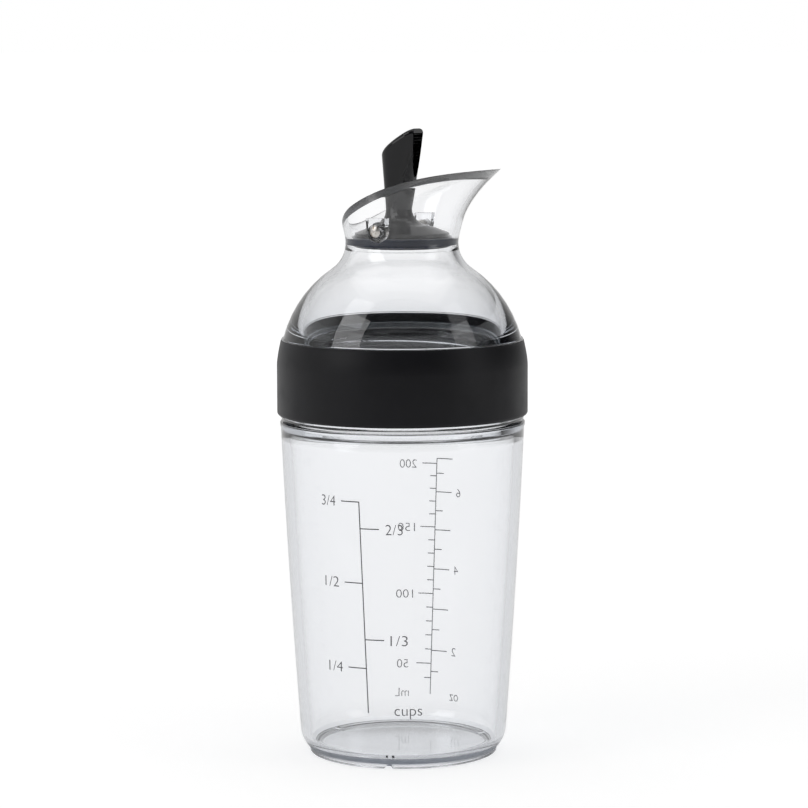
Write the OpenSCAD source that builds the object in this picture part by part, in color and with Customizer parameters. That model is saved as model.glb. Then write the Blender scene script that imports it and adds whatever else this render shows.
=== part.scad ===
// Salad dressing shaker bottle: a clear tumbler, a domed screw lid with a soft
// grip band, and a pouring spout closed by a flip stopper on a cross pin.
// The origin is the middle of the foot ring, on the surface the bottle stands on.
// +Z is up and the spout points along +X. Every size is in millimetres.

/* [Tumbler] */
// Outside radius of the foot ring
foot_r = 26.4; // [24:0.1:27]
// Height of the foot ring under the body
foot_h = 1.4; // [1:0.1:3]
// Width of the foot ring
foot_width = 3; // [2:0.1:5]
// Size of the bevel on the foot ring's outer edge
foot_bevel = 0.4; // [0.2:0.1:0.8]
// Depth of the hollow inside the foot ring
foot_recess = 0.9; // [0.5:0.1:1.2]
// Number of drain notches in the foot ring
notch_count = 3; // [2:1:6]
// Width of one drain notch
notch_w = 3.2; // [2:0.1:5]
// Direction of the first drain notch
notch_angle = -71; // [-180:1:180]
// Outside radius of the body just above its bottom corner
body_low_r = 29.1; // [28:0.1:30]
// Outside radius of the body under the shoulder
body_top_r = 34.1; // [33:0.1:34.6]
// How far the side bows out from a straight taper
body_bow = 0.3; // [0:0.05:0.8]
// Height of the rounded bottom corner
corner_h = 5.8; // [3:0.1:8]
// Height of the shoulder above the table
shoulder_z = 93.8; // [85:0.5:100]
// How far the shoulder bead stands out from the side
bead_out = 0.25; // [0:0.05:0.6]
// Height of the shoulder bead
bead_h = 3; // [2:0.1:5]
// Thickness of the tumbler's side wall
wall = 2.8; // [2:0.1:3.4]
// Thickness of the tumbler's floor
floor_t = 3.2; // [2.4:0.1:5]
// Radius of the corner between the floor and the side inside
floor_round = 3; // [1:0.1:6]
// How far the threaded neck is set in from the body's upper radius
neck_step = 4.2; // [3.8:0.1:5]
// Thickness of the threaded neck
neck_wall = 2.3; // [1.8:0.1:3]
// Height of the threaded neck above the shoulder
neck_h = 18; // [15:0.5:20]
// Radius of the rounded rim and of the fillet at the neck's root
neck_round = 0.6; // [0.3:0.1:1]
// Height of the rounded throat between the side wall and the neck
throat_h = 3.9; // [3:0.1:6]

/* [Lid] */
// Gap between the tumbler's shoulder and the lid's lower edge
lid_gap = 0.6; // [0.4:0.1:1.5]
// Radial room between the neck and the skirt for the two threads
thread_room = 1.1; // [0.9:0.1:1.4]
// Thickness of the skirt between its thread and the grip band
skirt_wall = 2.26; // [1.8:0.02:3]
// Height of the clear lip that shows under the grip band
lip_h = 1.1; // [0.8:0.1:2]
// How far that lip stands out from the band's seat
lip_out = 0.7; // [0.3:0.1:1]
// Radius of the dome's curve
dome_r = 33.4; // [32:0.1:35]
// Radius of the dome's inner curve, which is tighter, so that the wall grows towards its foot
dome_inner_r = 22.4; // [21:0.1:24]
// How far the dome's foot stands back from the tumbler's bore, inside
dome_step = 0.85; // [0.2:0.05:1.5]
// Thickness of the wall where the dome runs into the waist
dome_wall = 1.8; // [1.4:0.1:2.4]
// Radius of the curve between the dome and the waist
waist_fillet = 8.76; // [6:0.02:12]
// Outside radius of the waist under the spout
waist_r = 15.75; // [15:0.05:17]
// Height of the waist above the lid's lower edge
waist_h = 49.1; // [46:0.1:54]

/* [Grip band] */
// Height of the grip band
band_h = 21.5; // [16:0.1:24]
// Thickness of the grip band
band_t = 1.8; // [1.2:0.1:2.4]
// Height of the tapered stretch at the band's upper edge
band_taper_h = 7; // [3:0.1:10]
// How much thinner the band is at its upper edge
band_taper = 1.15; // [0.4:0.05:1.5]
// Radius of the band's lower edge
band_round = 1; // [0.4:0.1:1.2]

/* [Gasket] */
// Thickness of the lid gasket
gasket_t = 1.5; // [1:0.1:2.5]
// Gap left between the gasket and the tumbler's rim
gasket_gap = 0.1; // [0.05:0.01:0.3]
// How far the gasket stays clear of the skirt
gasket_clear = 0.3; // [0.2:0.05:0.6]

/* [Spout] */
// Reach of the pouring tip from the axis
tip_reach = 28.6; // [25:0.1:31]
// Height of the pouring tip above the waist
tip_h = 20.8; // [17:0.1:25]
// How far the back of the funnel flares out from the waist
back_flare = 1; // [0.5:0.05:2.5]
// Thickness of the funnel
funnel_wall = 1.75; // [1.4:0.05:2.2]
// Radius of the rim's arc, seen from the side
rim_arc_r = 107; // [85:1:140]
// How far the top of that arc lies beyond the tip
rim_arc_lead = 9.9; // [2:0.1:15]
// Extra dip of the rim at the back
back_dip = 1.2; // [0:0.1:3]
// Radius of the bore that the stopper closes
bore_r = 14.2; // [13.6:0.05:14.4]
// Depth of that bore under the waist
bore_drop = 2.3; // [1.8:0.1:3]

/* [Hinge] */
// Radius of the steel hinge pin
pin_r = 1.8; // [1.4:0.05:2]
// Half the length of the hinge pin
pin_half = 16.3; // [15.9:0.1:16.6]
// Rise of the pin's domed ends
pin_dome = 0.5; // [0.2:0.1:0.8]
// Height of the pin above the waist
pin_h = 3.9; // [3.4:0.1:5]
// Radial clearance of the lever on the pin
pin_clear = 0.06; // [0.02:0.01:0.1]
// Radial clearance of the pin in the lid
pin_seat_clear = 0.02; // [0.01:0.01:0.05]
// Half the width of the U-shaped hinge pads
pad_r = 2.8; // [2.4:0.05:3]
// Distance from the axis to the face of each hinge pad
pad_face = 12.6; // [12:0.1:13]
// Height of the hinge pads above the pin
pad_top = 3.7; // [2.5:0.1:5]

/* [Stopper] */
// Radius of the lever's base flange
flange_r = 13.2; // [12.4:0.1:13.4]
// Thickness of the flange at its edge
flange_t = 1.1; // [0.8:0.1:1.6]
// Depth of the flange's underside below the pin
flange_drop = 2.05; // [1.8:0.05:2.6]
// Height of the cone on the flange
cone_h = 2; // [1:0.1:3]
// Radius where the cone meets the stem's flare
cone_r = 7.6; // [6:0.1:9]
// Height of the stem's flare above the cone
flare_h = 4.5; // [3:0.1:6]
// Radius of the lever's hinge barrel
barrel_r = 2.6; // [2.4:0.05:2.8]
// Sideways clearance between the lever and the hinge pads
side_clear = 0.3; // [0.2:0.05:0.5]
// Clearance between the seal and the bore
seal_clear = 0.3; // [0.2:0.05:0.5]
// Thickness of the silicone seal
seal_t = 3.3; // [2:0.1:3.4]
// Radius of the hub inside the seal
seal_hub_r = 10.4; // [9:0.1:11]
// Radius of the snap lip that holds the seal on its hub
snap_r = 11; // [10.6:0.1:11.6]
// Thickness of the snap lip
snap_t = 0.6; // [0.4:0.1:0.8]

/* [Lever] */
// Height of the lever's peak above the pin
lever_h = 27.8; // [24:0.1:32]
// Position of the back edge at the stem
stem_back = -4.5; // [-5:0.1:-3]
// Position of the front edge at the stem
stem_front = 2.6; // [2:0.1:4]
// Position of the back edge at the thumb pad
pad_back = -5.6; // [-6.5:0.1:-4]
// Position of the front edge at the thumb pad
pad_front = 6.3; // [5:0.1:7.5]
// Width of the stem
stem_w = 6; // [5:0.1:8]
// Width of the thumb pad
thumb_w = 8; // [6:0.1:10]
// Drop of the thumb pad from its peak to its back edge
thumb_drop = 7.7; // [5:0.1:10]
// Radius of the thumb pad's rounded edge
thumb_round = 1.4; // [0.6:0.1:1.8]
// Reach of the front flat's lower end from the axis
flat_reach = 4.15; // [3.8:0.05:4.4]
// Height of the front flat's lower end above the pin
flat_h = 14.1; // [12:0.1:18]
// Lean of the front flat from upright
flat_lean = 4.8; // [3:0.1:7]

/* [Hidden] */
$fn = 96;
cut = 1;
clear_tint = [0.9, 0.93, 0.95, 0.35];

// Tumbler heights and inner radii
corner_top_z = foot_h + corner_h;
corner_start = -60;
corner_mid_r = (foot_r - body_low_r * cos(corner_start)) / (1 - cos(corner_start));
corner_reach = body_low_r - corner_mid_r;
corner_drop = -corner_h / sin(corner_start);
bead_z = shoulder_z - bead_h;
rim_z = shoulder_z + neck_h;
neck_r = body_top_r - neck_step;
neck_bore_r = neck_r - neck_wall;
side_steps = 8;
arc_steps = 6;
throat_z = shoulder_z - 2 * wall;
floor_r = side_r(floor_t + floor_round) - wall;

// Lid heights and radii
lid_z = shoulder_z + lid_gap;
skirt_r = neck_r + thread_room;
waist_z = lid_z + waist_h;
fillet_x = waist_r + waist_fillet;
band_z = lid_z + lip_h;
band_top_z = band_z + band_h;
taper_power = 1.5;
band_seat_r = skirt_r + skirt_wall;
gasket_z = rim_z + gasket_gap;
ceiling_z = gasket_z + gasket_t;
bore_z = waist_z - bore_drop;

// Centre of the dome's curve, which leaves the band's upper edge and runs into the waist's fillet
fillet_way = [fillet_x - band_seat_r, waist_z - band_top_z];
fillet_far = norm(fillet_way);
dome_along = (pow(dome_r, 2) - pow(dome_r + waist_fillet, 2) + pow(fillet_far, 2)) / (2 * fillet_far);
dome_across = sqrt(pow(dome_r, 2) - pow(dome_along, 2));
dome_x = band_seat_r + (fillet_way[0] * dome_along - fillet_way[1] * dome_across) / fillet_far;
dome_z = band_top_z + (fillet_way[1] * dome_along + fillet_way[0] * dome_across) / fillet_far;

// Centre of the dome's inner curve, which leaves its foot upright
dome_foot_r = neck_bore_r + dome_step;
inner_x = dome_foot_r - dome_inner_r;
inner_fillet = waist_fillet + dome_wall;
inner_z = waist_z - sqrt(pow(dome_inner_r + inner_fillet, 2) - pow(fillet_x - inner_x, 2));

// Spout shape
pin_z = waist_z + pin_h;
tip_z = waist_z + tip_h;
rim_arc_x = tip_reach + rim_arc_lead;
rim_arc_z = tip_z - sqrt(pow(rim_arc_r, 2) - pow(rim_arc_lead, 2));
dip_start = waist_r / 2;
funnel_step = 0.05;
funnel_root = 0.6;
flare_power = 2;
tip_sharpness = 1.1;
back_flare_end = 0.32;
around = 64;
up_steps = 12;
lip_steps = 4;

// Stopper shape
sweep_r = bore_r - seal_clear;
flange_z = pin_z - flange_drop;
barrel_end = pad_face - side_clear;
peak_z = pin_z + lever_h;
cone_z = flange_z + flange_t + cone_h;
stem_z = cone_z + flare_h;
lever_around = 48;
lever_steps = 10;
flare_steps = 4;
flare_sink = 0.15;
lever_squareness = 0.75;
thumb_slope_power = 1.2;
thumb_front_run = 1.7;
thumb_front_drop = 7;

// Radius of the tumbler's side at a height, with its slight bow
function side_r(z) =
    let (t = (z - corner_top_z) / (bead_z - corner_top_z))
    body_low_r + (body_top_r - body_low_r) * t + 4 * body_bow * t * (1 - t);

// Points of an elliptical arc
function arc(cx, cz, rx, rz, from, to, steps) =
    [for (i = [0:steps]) let (a = from + (to - from) * i / steps) [cx + rx * cos(a), cz + rz * sin(a)]];

// A curve that leaves 0 and reaches 1 level
function ease(t) =
    let (s = max(0, min(1, t)))
    s * s * (3 - 2 * s);

// Radius of the funnel in the direction a, at a height
function funnel_r(a, z) =
    let (u = max(0, (z - waist_z) / tip_h))
    let (back = back_flare * ease(u / back_flare_end))
    let (front = (tip_reach - waist_r) * pow(u, flare_power))
    waist_r - funnel_step + back + max(0, front - back) * pow((1 + cos(a)) / 2, tip_sharpness);

// Height of the rim above a distance x in front of the axis
function rim_height(x) =
    let (dip = max(0, (-dip_start - x) / (waist_r + back_flare - dip_start)))
    rim_arc_z + sqrt(pow(rim_arc_r, 2) - pow(x - rim_arc_x, 2)) - back_dip * dip * dip;

// Height where the funnel's wall meets the rim in the direction a
function rim_at(a, z = tip_z, tries = 5) =
    tries == 0 ? z : rim_at(a, rim_height(funnel_r(a, z) * cos(a)), tries - 1);

// Radius and height of each point up the outside, over the lip and down the inside
function funnel_outline(a) =
    let (lip = funnel_wall / 2)
    let (top = rim_at(a) - lip)
    let (low = waist_z - funnel_root)
    let (outside = [for (i = [0:up_steps]) let (z = low + (top - low) * i / up_steps) [funnel_r(a, z), z]])
    let (lip_r = funnel_r(a, top) - lip)
    let (over = arc(lip_r, top, lip, lip, 0, 180, lip_steps))
    let (inside = [for (p = outside) [max(bore_r + funnel_step, p[0] - funnel_wall), p[1]]])
    concat(outside,
        [for (i = [1:lip_steps - 1]) over[i]],
        [for (i = [up_steps:-1:0]) inside[i]]);

// Surface through equal rings of points: closed end to start, or capped at both ends
module loft(rings, capped) {
    count = len(rings[0]);
    bands = capped ? len(rings) - 1 : len(rings);
    sides = [
        for (j = [0:bands - 1], i = [0:count - 1])
            let (k = (i + 1) % count, m = (j + 1) % len(rings))
            let (a = j * count + i, b = j * count + k)
            let (c = m * count + k, d = m * count + i)
            each [[a, d, c], [a, c, b]]
    ];
    low_cap = [for (i = [count - 2:-1:1]) [0, i, i + 1]];
    last = (len(rings) - 1) * count;
    high_cap = [for (i = [1:count - 2]) [last, last + i + 1, last + i]];
    polyhedron(
        points = [for (ring = rings) each ring],
        faces = capped ? concat(sides, low_cap, high_cap) : sides,
        convexity = 6
    );
}

// Funnel of the spout, as one meridian outline for each direction
module funnel() {
    rings = [
        for (i = [0:around - 1])
            let (a = -360 * i / around)
            [for (p = funnel_outline(a)) [p[0] * cos(a), p[0] * sin(a), p[1]]]
    ];
    loft(rings, false);
}

// Half outline of a dome of radius curve_r about [x, z], and of the waist that it runs into
module dome_outline(x, z, curve_r, fillet_r) {
    intersection() {
        translate([0, z]) square([x + curve_r, waist_z - z]);
        union() {
            translate([x, z]) circle(curve_r);
            difference() {
                polygon([[-curve_r, z], [x, z], [fillet_x, waist_z], [-curve_r, waist_z]]);
                translate([fillet_x, waist_z]) circle(fillet_r);
            }
        }
    }
}

// Everything inside the lid's outer surface
module lid_outer() {
    intersection() {
        dome_outline(dome_x, dome_z, dome_r, waist_fillet);
        translate([0, band_top_z]) square([dome_x + dome_r, waist_h]);
    }
    translate([0, lid_z]) square([band_seat_r, band_top_z - lid_z]);
    translate([0, lid_z]) square([band_seat_r + lip_out - lip_h / 3, lip_h]);
    translate([0, lid_z + lip_h / 3]) square([band_seat_r + lip_out, lip_h * 2 / 3]);
    translate([band_seat_r + lip_out - lip_h / 3, lid_z + lip_h / 3]) circle(lip_h / 3);
}

// Everything hollow inside the lid
module lid_hollow() {
    translate([0, lid_z - cut]) square([skirt_r, ceiling_z - lid_z + cut]);
    translate([0, lid_z]) square([dome_foot_r, inner_z - lid_z]);
    intersection() {
        dome_outline(inner_x, inner_z, dome_inner_r, inner_fillet);
        translate([0, inner_z]) square([dome_foot_r, bore_z - inner_z]);
    }
    translate([0, bore_z]) square([bore_r, waist_z - bore_z + cut]);
}

// One pad inside the funnel that carries an end of the hinge pin
module hinge_pad(side) {
    intersection() {
        rotate([90, 0, 0]) {
            translate([0, pin_z, -side * (pad_face + waist_r) / 2 - (waist_r - pad_face) / 2]) {
                linear_extrude(waist_r - pad_face) {
                    circle(pad_r);
                    translate([-pad_r, 0]) square([2 * pad_r, pad_top]);
                }
            }
        }
        cylinder(r = (bore_r + waist_r) / 2, h = pin_z + pad_top + cut);
    }
}

// Hollow of the tumbler and its threaded neck
module tumbler_hollow() {
    top_r = side_r(throat_z) - wall;
    polygon(concat(
        [[0, floor_t]],
        arc(floor_r - floor_round, floor_t + floor_round, floor_round, floor_round, -90, 0, arc_steps),
        [for (i = [1:side_steps])
            let (z = floor_t + floor_round + (throat_z - floor_t - floor_round) * i / side_steps)
            [side_r(z) - wall, z]],
        arc(neck_bore_r, throat_z, top_r - neck_bore_r, throat_h, 0, 90, arc_steps),
        [[neck_bore_r, rim_z + cut], [0, rim_z + cut]]
    ));
}

// Clear tumbler with its foot ring, shoulder and neck
module tumbler() {
    bead_r = body_top_r + bead_out;
    bead_round = bead_h / 3;
    color(clear_tint) difference() {
        rotate_extrude() {
            difference() {
                polygon(concat(
                    [[0, foot_recess], [foot_r - foot_width, foot_recess], [foot_r - foot_width, 0]],
                    [[foot_r - foot_bevel, 0], [foot_r, foot_bevel]],
                    arc(corner_mid_r, corner_top_z, corner_reach, corner_drop, corner_start, 0, arc_steps),
                    [for (i = [1:side_steps])
                        let (z = corner_top_z + (bead_z - corner_top_z) * i / side_steps)
                        [side_r(z), z]],
                    [[bead_r, bead_z + bead_round]],
                    arc(bead_r - bead_round, shoulder_z - bead_round, bead_round, bead_round, 0, 90, arc_steps),
                    [[neck_r + neck_round, shoulder_z], [neck_r, shoulder_z + neck_round]],
                    arc(neck_r - neck_round, rim_z - neck_round, neck_round, neck_round, 0, 90, arc_steps),
                    [[0, rim_z]]
                ));
                tumbler_hollow();
            }
        }
        for (i = [0:notch_count - 1]) {
            rotate(notch_angle + 360 * i / notch_count) {
                translate([foot_r - foot_width / 2, 0, 0]) {
                    rotate([90, 0, 90]) {
                        translate([0, 0, -foot_width]) {
                            linear_extrude(2 * foot_width) {
                                polygon([
                                    [-notch_w / 2, -cut], [notch_w / 2, -cut],
                                    [notch_w / 3, foot_recess], [-notch_w / 3, foot_recess]
                                ]);
                            }
                        }
                    }
                }
            }
        }
    }
}

// Clear lid: threaded skirt, dome, waist and pouring funnel in one moulding
module lid_shell() {
    color(clear_tint) difference() {
        union() {
            rotate_extrude() {
                difference() {
                    lid_outer();
                    lid_hollow();
                }
            }
            funnel();
            hinge_pad(1);
            hinge_pad(-1);
        }
        translate([0, waist_r * 2, pin_z]) {
            rotate([90, 0, 0]) cylinder(r = pin_r + pin_seat_clear, h = waist_r * 4);
        }
    }
}

// Soft black band round the skirt
module grip_band() {
    outer_r = band_seat_r + band_t;
    taper_z = band_top_z - band_taper_h;
    color([0.12, 0.12, 0.13]) rotate_extrude() {
        polygon(concat(
            [[band_seat_r, band_z]],
            arc(outer_r - band_round, band_z + band_round, band_round, band_round, -90, 0, arc_steps),
            [for (i = [0:arc_steps])
                let (t = i / arc_steps)
                [outer_r - band_taper * pow(t, taper_power), taper_z + band_taper_h * t]],
            [[band_seat_r, band_top_z]]
        ));
    }
}

// Silicone ring between the tumbler's rim and the lid's ceiling
module lid_gasket() {
    low_r = neck_bore_r + gasket_clear;
    high_r = skirt_r - gasket_clear;
    color([0.86, 0.88, 0.89]) translate([0, 0, gasket_z]) rotate_extrude() {
        polygon([
            [low_r + gasket_t / 3, 0], [high_r - gasket_t / 3, 0], [high_r, gasket_t / 3],
            [high_r, gasket_t], [low_r, gasket_t], [low_r, gasket_t / 3]
        ]);
    }
}

// Steel pin across the funnel, with slightly domed ends
module hinge_pin() {
    dome_ball_r = (pow(pin_r, 2) + pow(pin_dome, 2)) / (2 * pin_dome);
    color([0.78, 0.77, 0.75]) translate([0, 0, pin_z]) rotate([90, 0, 0]) {
        cylinder(r = pin_r, h = 2 * (pin_half - pin_dome), center = true);
        for (flip = [0, 1]) {
            mirror([0, 0, flip]) intersection() {
                translate([0, 0, pin_half - 2 * pin_dome]) cylinder(r = pin_r, h = 2 * pin_dome);
                translate([0, 0, pin_half - dome_ball_r]) sphere(dome_ball_r);
            }
        }
    }
}

// One cross section of the lever: how far up it lies and how much its edge is drawn in
function lever_ring(t, inset, sink) =
    let (back = stem_back + (pad_back - stem_back) * t + inset)
    let (front = stem_front + (pad_front - stem_front) * t - inset)
    let (half_w = (stem_w + (thumb_w - stem_w) * t) / 2 - inset)
    let (mid = (back + front) / 2, half_l = (front - back) / 2)
    [for (i = [0:lever_around - 1])
        let (a = 360 * i / lever_around)
        let (c = cos(a), s = sin(a))
        let (x = mid + half_l * sign(c) * pow(abs(c), lever_squareness))
        let (y = half_w * sign(s) * pow(abs(s), lever_squareness))
        let (high = thumb_top(x) - sink)
        [x, y, stem_z + (high - stem_z) * t]];

// One cross section of the flare that leads from the round cone up into the stem
function flare_ring(t) =
    let (root = lever_ring(0, 0, 0), pull = sin(90 * t), low = cone_z - flare_sink)
    [for (i = [0:lever_around - 1])
        let (a = 360 * i / lever_around)
        let (x = cone_r * cos(a) * (1 - pull) + root[i][0] * pull)
        let (y = cone_r * sin(a) * (1 - pull) + root[i][1] * pull)
        [x, y, low + (stem_z - low) * (1 - cos(90 * t))]];

// Height of the thumb pad above a distance x in front of the pin
function thumb_top(x) =
    let (crest = pad_front - thumb_front_run)
    let (behind = max(0, crest - x) / (pad_front - pad_back))
    let (ahead = max(0, x - crest) / (pad_front - pad_back))
    peak_z - thumb_drop * pow(behind, thumb_slope_power) - thumb_front_drop * ahead * ahead;

// Lever with its thumb pad, stem, cone, flange, hinge barrel and seal hub
module pour_lever() {
    rings = concat(
        [for (i = [0:flare_steps - 1]) flare_ring(i / flare_steps)],
        [for (i = [0:lever_steps]) lever_ring(i / lever_steps, 0, thumb_round)],
        [for (i = [1:3]) let (a = 30 * i) lever_ring(1, thumb_round * (1 - cos(a)), thumb_round * (1 - sin(a)))]
    );
    color([0.09, 0.09, 0.1]) difference() {
        union() {
            loft(rings, true);
            rotate_extrude() {
                polygon([
                    [0, cone_z], [cone_r, cone_z], [flange_r, flange_z + flange_t],
                    [flange_r, flange_z], [seal_hub_r, flange_z],
                    [seal_hub_r, flange_z - seal_t + snap_t], [snap_r, flange_z - seal_t + snap_t],
                    [seal_hub_r, flange_z - seal_t], [0, flange_z - seal_t]
                ]);
            }
            translate([0, 0, pin_z]) rotate([90, 0, 0]) {
                cylinder(r = barrel_r, h = 2 * barrel_end, center = true);
            }
        }
        translate([0, 0, pin_z]) rotate([90, 0, 0]) {
            cylinder(r = pin_r + pin_clear, h = 4 * pad_face, center = true);
        }
        translate([flat_reach, -thumb_w, pin_z + flat_h]) {
            rotate([0, flat_lean, 0]) cube([thumb_w, 2 * thumb_w, lever_h]);
        }
        for (side = [-1, 1]) {
            translate([-flange_r, side * (barrel_end + flange_r) - flange_r, flange_z - cut]) {
                cube([2 * flange_r, 2 * flange_r, flange_drop + 2 * cut]);
            }
        }
    }
}

// Silicone ring on the hub, ground to a ball about the pin so that it can swing,
// with a groove across its top for the hinge barrel and the pads
module stopper_seal() {
    color([0.1, 0.14, 0.26]) difference() {
        intersection() {
            translate([0, 0, pin_z]) sphere(sweep_r);
            translate([0, 0, flange_z - seal_t]) cylinder(r = sweep_r, h = seal_t);
        }
        rotate_extrude() {
            polygon([
                [0, flange_z + cut], [seal_hub_r, flange_z + cut],
                [seal_hub_r, flange_z - seal_t + snap_t], [snap_r, flange_z - seal_t + snap_t],
                [snap_r, flange_z - seal_t - cut], [0, flange_z - seal_t - cut]
            ]);
        }
        translate([0, 0, pin_z]) rotate([90, 0, 0]) {
            cylinder(r = pad_r + seal_clear, h = 4 * pad_face, center = true);
        }
    }
}

tumbler();
lid_shell();
grip_band();
lid_gasket();
hinge_pin();
pour_lever();
stopper_seal();
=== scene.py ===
import math

import bmesh
import bpy
from mathutils import Matrix, Vector


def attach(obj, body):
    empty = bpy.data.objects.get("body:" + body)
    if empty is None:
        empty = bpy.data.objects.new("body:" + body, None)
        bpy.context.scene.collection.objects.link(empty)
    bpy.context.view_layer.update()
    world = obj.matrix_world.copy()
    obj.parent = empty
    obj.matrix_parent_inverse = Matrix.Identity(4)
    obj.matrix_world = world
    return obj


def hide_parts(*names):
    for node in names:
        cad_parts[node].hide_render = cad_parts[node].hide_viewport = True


bl_info = {
    "name": "Salad dressing shaker bottle",
    "version": (1, 0, 0),
    "blender": (4, 5, 0),
    "location": "3D View > Sidebar > Bottle",
    "description": "Builds a clear dressing shaker with its screw lid, pouring spout and flip stopper",
    "category": "Add Mesh",
}

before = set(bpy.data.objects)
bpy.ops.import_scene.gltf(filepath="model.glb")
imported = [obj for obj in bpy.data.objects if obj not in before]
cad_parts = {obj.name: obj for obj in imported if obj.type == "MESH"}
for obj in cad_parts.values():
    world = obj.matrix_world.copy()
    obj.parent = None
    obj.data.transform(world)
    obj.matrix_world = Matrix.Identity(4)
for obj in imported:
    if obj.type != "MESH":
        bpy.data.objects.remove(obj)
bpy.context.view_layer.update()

MM = 0.001
AROUND = 192
ARC_STEP = 6
SHARP_ANGLE = math.radians(32)
LEVER_CREASE = math.radians(12)
HAIR = 0.015 * MM


def length(name, description, mm):
    """A property for one size, given in millimetres and stored in metres."""
    return bpy.props.FloatProperty(
        name=name, description=description, default=mm * MM, unit="LENGTH", precision=4
    )


def colour(name, description, rgb):
    """A property for one finish colour."""
    return bpy.props.FloatVectorProperty(
        name=name, description=description, default=rgb, subtype="COLOR", min=0, max=1
    )


def angle(name, description, degrees):
    """A property for one angle, given in degrees."""
    return bpy.props.FloatProperty(
        name=name, description=description, default=math.radians(degrees), subtype="ANGLE"
    )


def number(name, description, value):
    """A property for a plain number."""
    return bpy.props.FloatProperty(name=name, description=description, default=value)


class TumblerSizes(bpy.types.PropertyGroup):
    """Sizes of the clear tumbler and of the screw thread it shares with the lid."""

    foot_r: length("Foot radius", "Outside radius of the foot ring", 26.4)
    foot_h: length("Foot height", "Height of the foot ring under the body", 1.4)
    foot_width: length("Foot width", "Width of the foot ring", 3)
    foot_recess: length("Foot recess", "Depth of the hollow inside the foot ring", 0.9)
    foot_bevel: length("Foot bevel", "Bevel on the foot ring's outer edge", 0.4)
    frost_z: length("Frosted foot", "Height up to which the corner above the foot ring is matt", 3.2)
    notch_w: length("Notch width", "Width of one drain notch", 3.2)
    low_r: length("Lower radius", "Outside radius above the bottom corner", 29.1)
    top_r: length("Upper radius", "Outside radius under the shoulder", 34.1)
    bow: length("Bow", "How far the side bows out from a straight taper", 0.3)
    corner_h: length("Corner height", "Height of the rounded bottom corner", 5.8)
    shoulder_z: length("Shoulder height", "Height of the shoulder above the table", 93.8)
    ledge: length("Ledge", "Thickness of the ledge between the side and the neck", 1.8)
    bead_out: length("Bead", "How far the shoulder bead stands out", 0.2)
    bead_h: length("Bead height", "Height of the shoulder bead", 1.6)
    wall: length("Wall", "Thickness of the side wall", 2.8)
    floor_t: length("Floor", "Height of the inside floor above the table", 3.2)
    floor_round: length("Floor corner", "Radius between the floor and the side inside", 3)
    neck_r: length("Neck radius", "Outside radius of the threaded neck", 29.9)
    neck_wall: length("Neck wall", "Thickness of the threaded neck", 2.3)
    neck_h: length("Neck height", "Height of the neck above the shoulder", 18)
    neck_round: length("Neck rounding", "Radius of the rounded rim", 0.6)
    throat_h: length("Throat height", "Height of the rounded throat inside", 0.8)
    pitch: length("Thread pitch", "Rise of the screw thread in one turn", 6.4)
    thread_depth: length("Thread depth", "How far a thread ridge stands out", 0.8)
    thread_foot: length("Thread foot", "Width of a thread ridge at its root", 2.4)
    thread_crest: length("Thread crest", "Width of a thread ridge at its crest", 1.3)


class LidSizes(bpy.types.PropertyGroup):
    """Sizes of the clear lid and its dome."""

    low_z: length("Lower edge", "Height of the lid's lower edge", 94.4)
    skirt_r: length("Skirt radius", "Inside radius of the threaded skirt", 31)
    seat_r: length("Band seat", "Radius of the seat under the grip band", 33.26)
    lip_r: length("Lip radius", "Outside radius of the lip under the grip band", 33.96)
    lip_h: length("Lip height", "Height of the lip under the grip band", 1.1)
    seat_top_z: length("Seat top", "Height of the upper end of the band's seat", 117)
    ridge_h: length("Ridge height", "Height of the clear ridge over the grip band", 0.5)
    ridge_out: length("Ridge", "How far that ridge stands out", 0.5)
    dome_r: length("Dome radius", "Radius of the dome's curve", 33.4)
    inner_r: length("Inner dome radius", "Radius of the dome's inner curve", 22.4)
    foot_r: length("Dome foot", "Inside radius of the dome's foot", 28.45)
    dome_wall: length("Dome wall", "Thickness of the wall where the dome meets the waist", 1.8)
    waist_r: length("Waist radius", "Outside radius of the waist", 15.75)
    waist_z: length("Waist height", "Height of the waist", 143.5)
    waist_fillet: length("Waist fillet", "Radius between the dome and the waist", 8.76)
    ceiling_z: length("Ceiling", "Height of the ceiling over the gasket", 113.4)


class SpoutSizes(bpy.types.PropertyGroup):
    """Sizes of the pouring funnel and of the hinge inside it."""

    bore_r: length("Bore radius", "Radius of the bore that the stopper closes", 14.2)
    bore_z: length("Bore height", "Height of the bore's lower end", 141.2)
    tip_reach: length("Tip reach", "Reach of the pouring tip from the axis", 28.6)
    tip_h: length("Tip height", "Height of the pouring tip above the waist", 20.8)
    back_flare: length("Back flare", "How far the back flares out", 1)
    wall: length("Wall", "Thickness of the funnel", 1.75)
    arc_r: length("Rim arc", "Radius of the rim's arc, seen from the side", 107)
    arc_lead: length("Rim arc lead", "How far the arc's top lies beyond the tip", 9.9)
    back_dip: length("Back dip", "Extra dip of the rim at the back", 1.2)
    crease: length("Flare blend", "How softly the back and front flares meet", 0.5)
    flare_power: number("Flare power", "How suddenly the front flares out", 2)
    sharpness: number("Tip sharpness", "How narrow the tip is from above", 1.1)
    back_end: number("Back flare end", "Share of the height where the back is flared", 0.32)
    pin_r: length("Pin radius", "Radius of the steel hinge pin", 1.8)
    pin_half: length("Pin half length", "Half the length of the hinge pin", 16.3)
    pin_dome: length("Pin dome", "Rise of the pin's domed ends", 0.5)
    pin_z: length("Pin height", "Height of the hinge pin", 147.4)
    pad_r: length("Pad radius", "Half the width of the hinge pads", 2.8)
    pad_face: length("Pad face", "Distance from the axis to a hinge pad", 12.6)
    pad_top: length("Pad top", "Height of the hinge pads above the pin", 3.7)


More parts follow.
